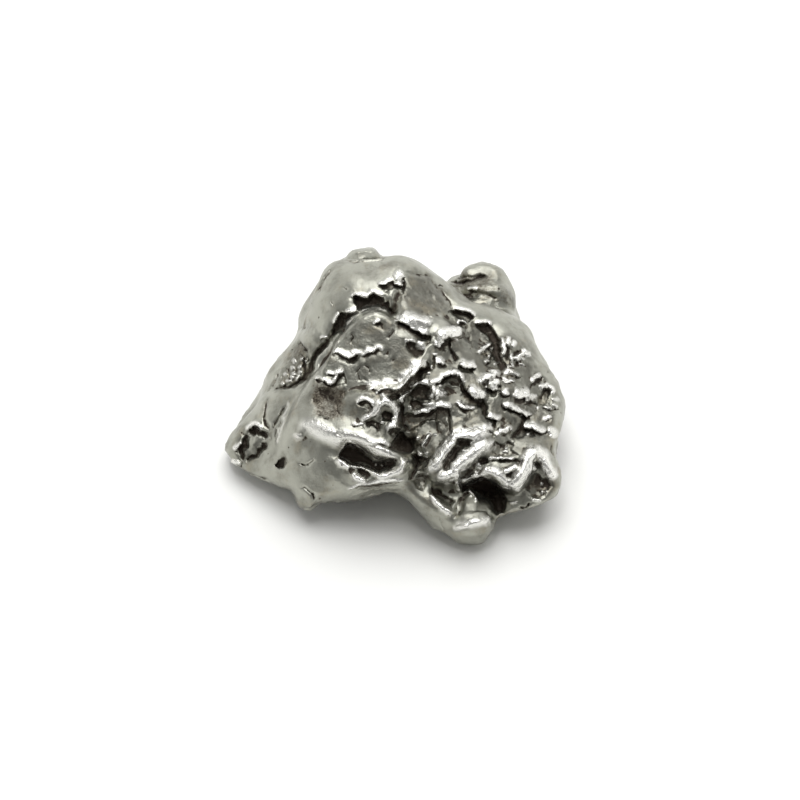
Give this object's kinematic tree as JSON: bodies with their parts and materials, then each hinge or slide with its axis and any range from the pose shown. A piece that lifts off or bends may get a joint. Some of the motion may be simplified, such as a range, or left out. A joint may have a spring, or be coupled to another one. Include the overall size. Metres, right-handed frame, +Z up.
{
  "type": "iron meteorite",
  "caption": "Small solid lump of nickel-iron, pitted and ridged, worn bright on its high places, lying on a flat surface as a specimen or prop.",
  "frame": {"origin": "on the table under the middle of the bounding box", "axes": "+Z up from the table it lies on; the show face with the ridges and pits looks towards -Y and up; +X to the right of someone facing it"},
  "size_m": [0.0276, 0.027, 0.0134],
  "materials": {
    "nickel_iron": "worn bright metal with dark oxide in its hollows"
  },
  "bodies": {
    "root": {"meteorite": "nickel_iron"}
  },
  "joints": []
}
